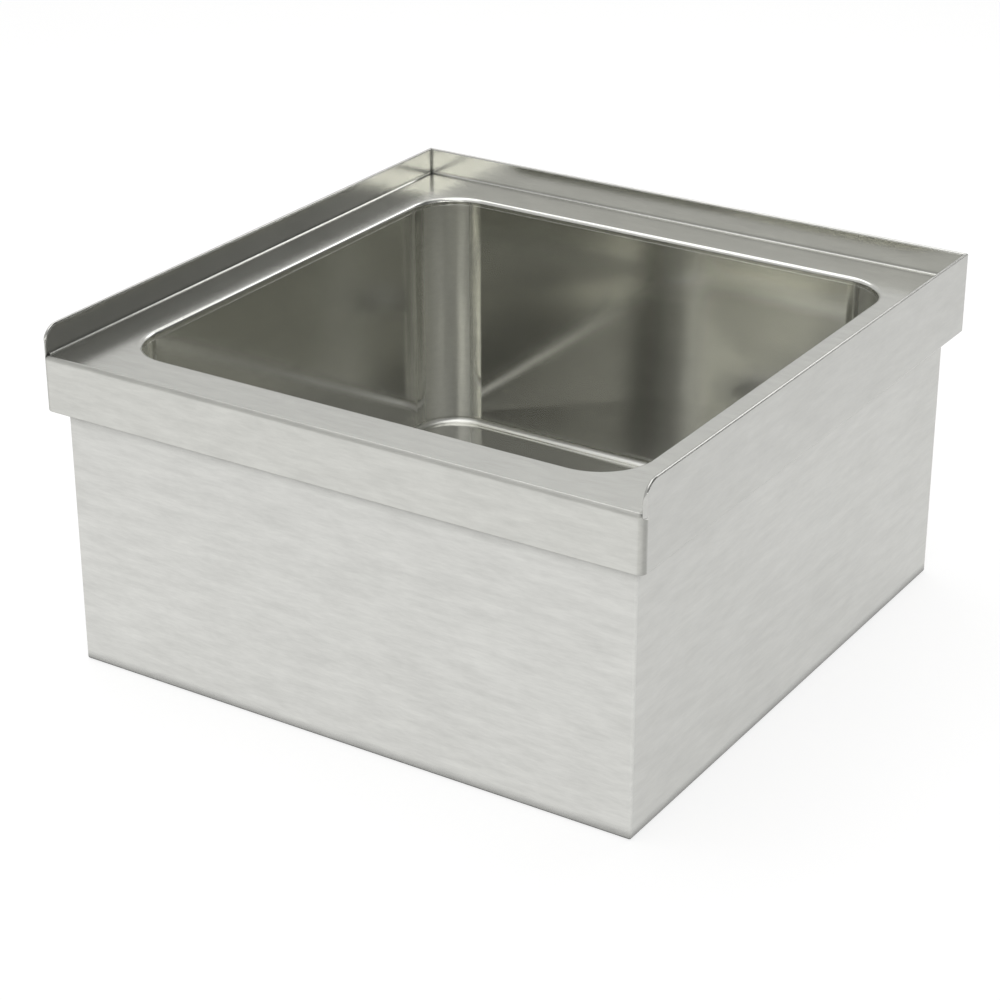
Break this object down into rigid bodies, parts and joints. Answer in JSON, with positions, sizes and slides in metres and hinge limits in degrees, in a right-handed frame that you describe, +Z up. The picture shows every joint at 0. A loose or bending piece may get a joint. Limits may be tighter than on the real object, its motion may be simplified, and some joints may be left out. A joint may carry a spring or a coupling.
{
  "type": "mop service sink",
  "caption": "Floor-standing square stainless mop sink with a deep bowl, upstands on three sides, a front lip, a boxed base and a lift-out strainer with a pull-up stopper.",
  "frame": {"origin": "on the floor, under the middle of the rim's outline", "axes": "+X to the right along the front lip, +Y from the lip to the wall side, +Z up"},
  "size_m": [0.635, 0.64, 0.339],
  "materials": {
    "bowl_steel": "satin, fine grain running down the walls",
    "deck_steel": "satin, grain along the width",
    "rim_steel": "satin, grain along each side",
    "skirt_steel": "satin, grain along each side",
    "inner_steel": "mill finish",
    "drain_steel": "polished",
    "strainer_steel": "polished",
    "knob_steel": "polished",
    "nut_brass": "as cast",
    "seal_rubber": "matte",
    "pad_rubber": "matte",
    "ring_fibre": "matte",
    "bush_plastic": "matte"
  },
  "bodies": {
    "sink": {"bowl": "bowl_steel", "deck": "deck_steel", "left_rim": "rim_steel", "right_rim": "rim_steel", "back_rim": "rim_steel", "front_skirt": "skirt_steel", "left_skirt": "skirt_steel", "right_skirt": "skirt_steel", "back_skirt": "skirt_steel", "corner_angles": "inner_steel", "bowl_supports": "inner_steel", "support_pads": "pad_rubber", "sound_pads": "pad_rubber", "drain_body": "drain_steel", "flange_seal": "seal_rubber", "drain_gasket": "seal_rubber", "friction_ring": "ring_fibre", "drain_locknut": "nut_brass"},
    "strainer": {"strainer_basket": "strainer_steel", "hub_bush": "bush_plastic"},
    "stopper": {"stopper_post": "strainer_steel", "pull_knob": "knob_steel", "stopper_seal": "seal_rubber", "stopper_washer": "strainer_steel", "stopper_nut": "strainer_steel"}
  },
  "joints": [
    {"name": "strainer_lift", "type": "slide", "parent": "sink", "child": "strainer", "axis": [0, 0, 1], "range_m": [0, 0.09]},
    {"name": "stopper_lift", "type": "slide", "parent": "strainer", "child": "stopper", "axis": [0, 0, 1], "range_m": [0, 0.005]}
  ]
}
